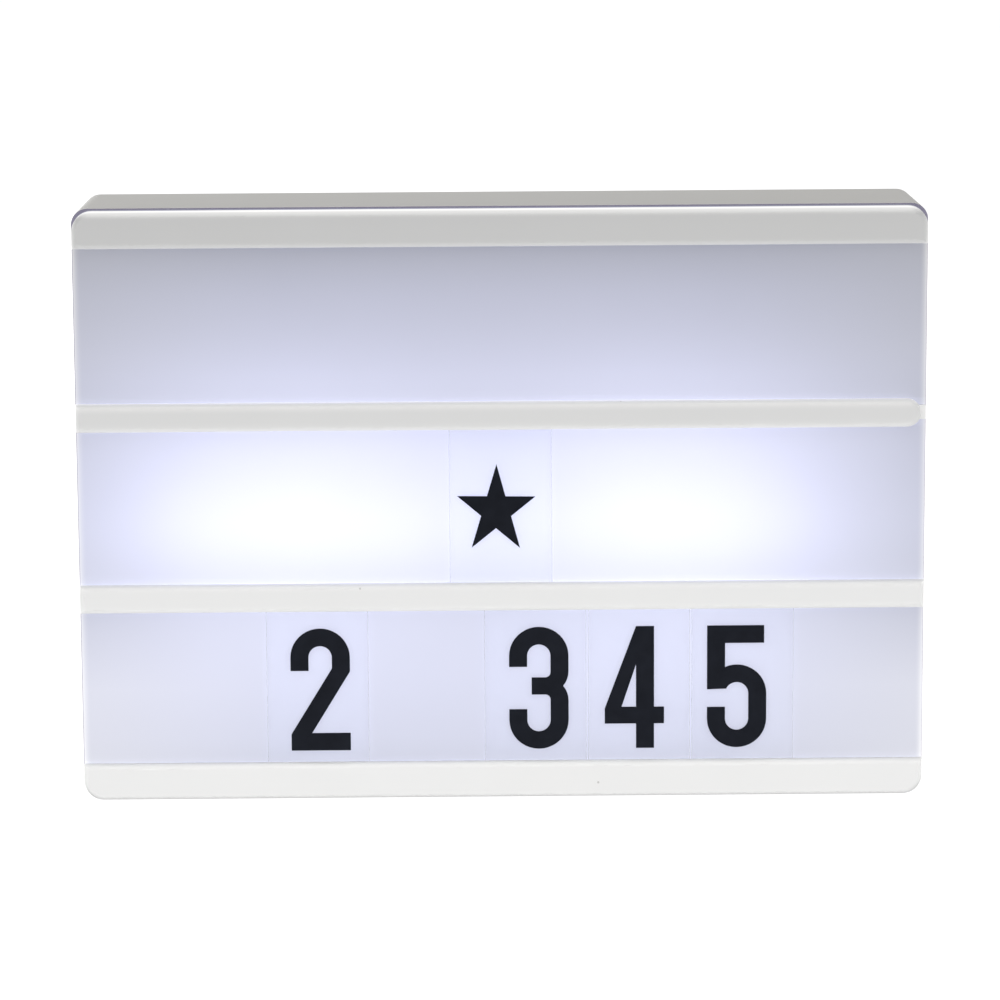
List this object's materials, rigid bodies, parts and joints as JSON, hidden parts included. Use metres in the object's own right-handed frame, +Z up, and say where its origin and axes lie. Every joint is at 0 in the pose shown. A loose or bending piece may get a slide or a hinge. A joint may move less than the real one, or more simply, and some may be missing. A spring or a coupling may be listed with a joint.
{
  "type": "cinema light box",
  "caption": "Free-standing lit letter box: an opal front with rails holds sliding clear tiles, in front of a deep white case with a switch, a power inlet and a battery well at the back.",
  "frame": {"origin": "middle of the base: centre of the bounding box in X and Y, on the surface that it stands on", "axes": "+X to the right as seen from the front, +Y from the front to the back, +Z up"},
  "size_m": [0.21, 0.04, 0.1485],
  "materials": {
    "case_white": "satin",
    "rail_white": "satin",
    "opal_panel": "satin",
    "clear_tile": "gloss",
    "black_foam": "matte",
    "screw_steel": "satin",
    "board_white": "matte",
    "board_green": "matte",
    "lamp_yellow": "gloss",
    "resistor_black": "matte",
    "switch_black": "matte",
    "switch_metal": "satin",
    "inlet_metal": "satin",
    "cell_sleeve": "satin",
    "contact_nickel": "satin",
    "lead_red": "satin",
    "lead_black": "satin"
  },
  "bodies": {
    "light_box": {"rear_case": "case_white", "light_seal": "black_foam", "front_panel": "opal_panel", "top_rail": "rail_white", "upper_rail": "rail_white", "lower_rail": "rail_white", "bottom_rail": "rail_white", "case_screws": "screw_steel", "led_board_left": "board_white", "led_board_right": "board_white", "leds_left": "lamp_yellow", "leds_right": "lamp_yellow", "led_resistors": "resistor_black", "led_board_screws": "screw_steel", "control_board": "board_green", "control_board_screws": "screw_steel", "switch_body": "switch_metal", "usb_socket": "inlet_metal", "usb_tongue": "switch_black", "battery_one": "cell_sleeve", "battery_two": "cell_sleeve", "battery_three": "cell_sleeve", "battery_springs": "contact_nickel", "positive_plate": "contact_nickel", "negative_plate": "contact_nickel", "bridge_plates": "contact_nickel", "red_battery_lead": "lead_red", "black_battery_lead": "lead_black", "red_led_lead": "lead_red", "black_led_lead": "lead_black", "red_jumper_lead": "lead_red", "black_jumper_lead": "lead_black"},
    "battery_door_body": {"battery_door": "case_white"},
    "star_tile_body": {"star_tile": "clear_tile"},
    "switch_slider_body": {"switch_slider": "switch_black"},
    "tile_four_body": {"tile_four": "clear_tile"},
    "tile_one_body": {"tile_one": "clear_tile"},
    "tile_three_body": {"tile_three": "clear_tile"},
    "tile_two_body": {"tile_two": "clear_tile"}
  },
  "joints": [
    {"name": "star_tile_slide", "type": "slide", "parent": "light_box", "child": "star_tile_body", "axis": [1, 0, 0], "range_m": [-0.1178, 0.1183]},
    {"name": "tile_one_slide", "type": "slide", "parent": "light_box", "child": "tile_one_body", "axis": [1, 0, 0], "range_m": [-0.072, 0.0284]},
    {"name": "tile_four_slide", "type": "slide", "parent": "light_box", "child": "tile_four_body", "axis": [1, 0, 0], "range_m": [-0.0284, 0.0584]},
    {"name": "tile_two_slide", "type": "slide", "parent": "light_box", "child": "tile_two_body", "axis": [1, 0, 0], "range_m": [-0.0284, 0.0584]},
    {"name": "tile_three_slide", "type": "slide", "parent": "light_box", "child": "tile_three_body", "axis": [1, 0, 0], "range_m": [-0.0284, 0.0584]},
    {"name": "switch_slide", "type": "slide", "parent": "light_box", "child": "switch_slider_body", "axis": [1, 0, 0], "range_m": [-0.004, 0]},
    {"name": "battery_door_hinge", "type": "hinge", "parent": "light_box", "child": "battery_door_body", "pos_m": [0, 0.02, 0.0105], "axis": [-1, 0, 0], "range_deg": [0, 75]}
  ],
  "couplings": [
    {"joint": "tile_two_slide", "follows": "tile_four_slide", "ratio": 1},
    {"joint": "tile_three_slide", "follows": "tile_four_slide", "ratio": 1}
  ]
}
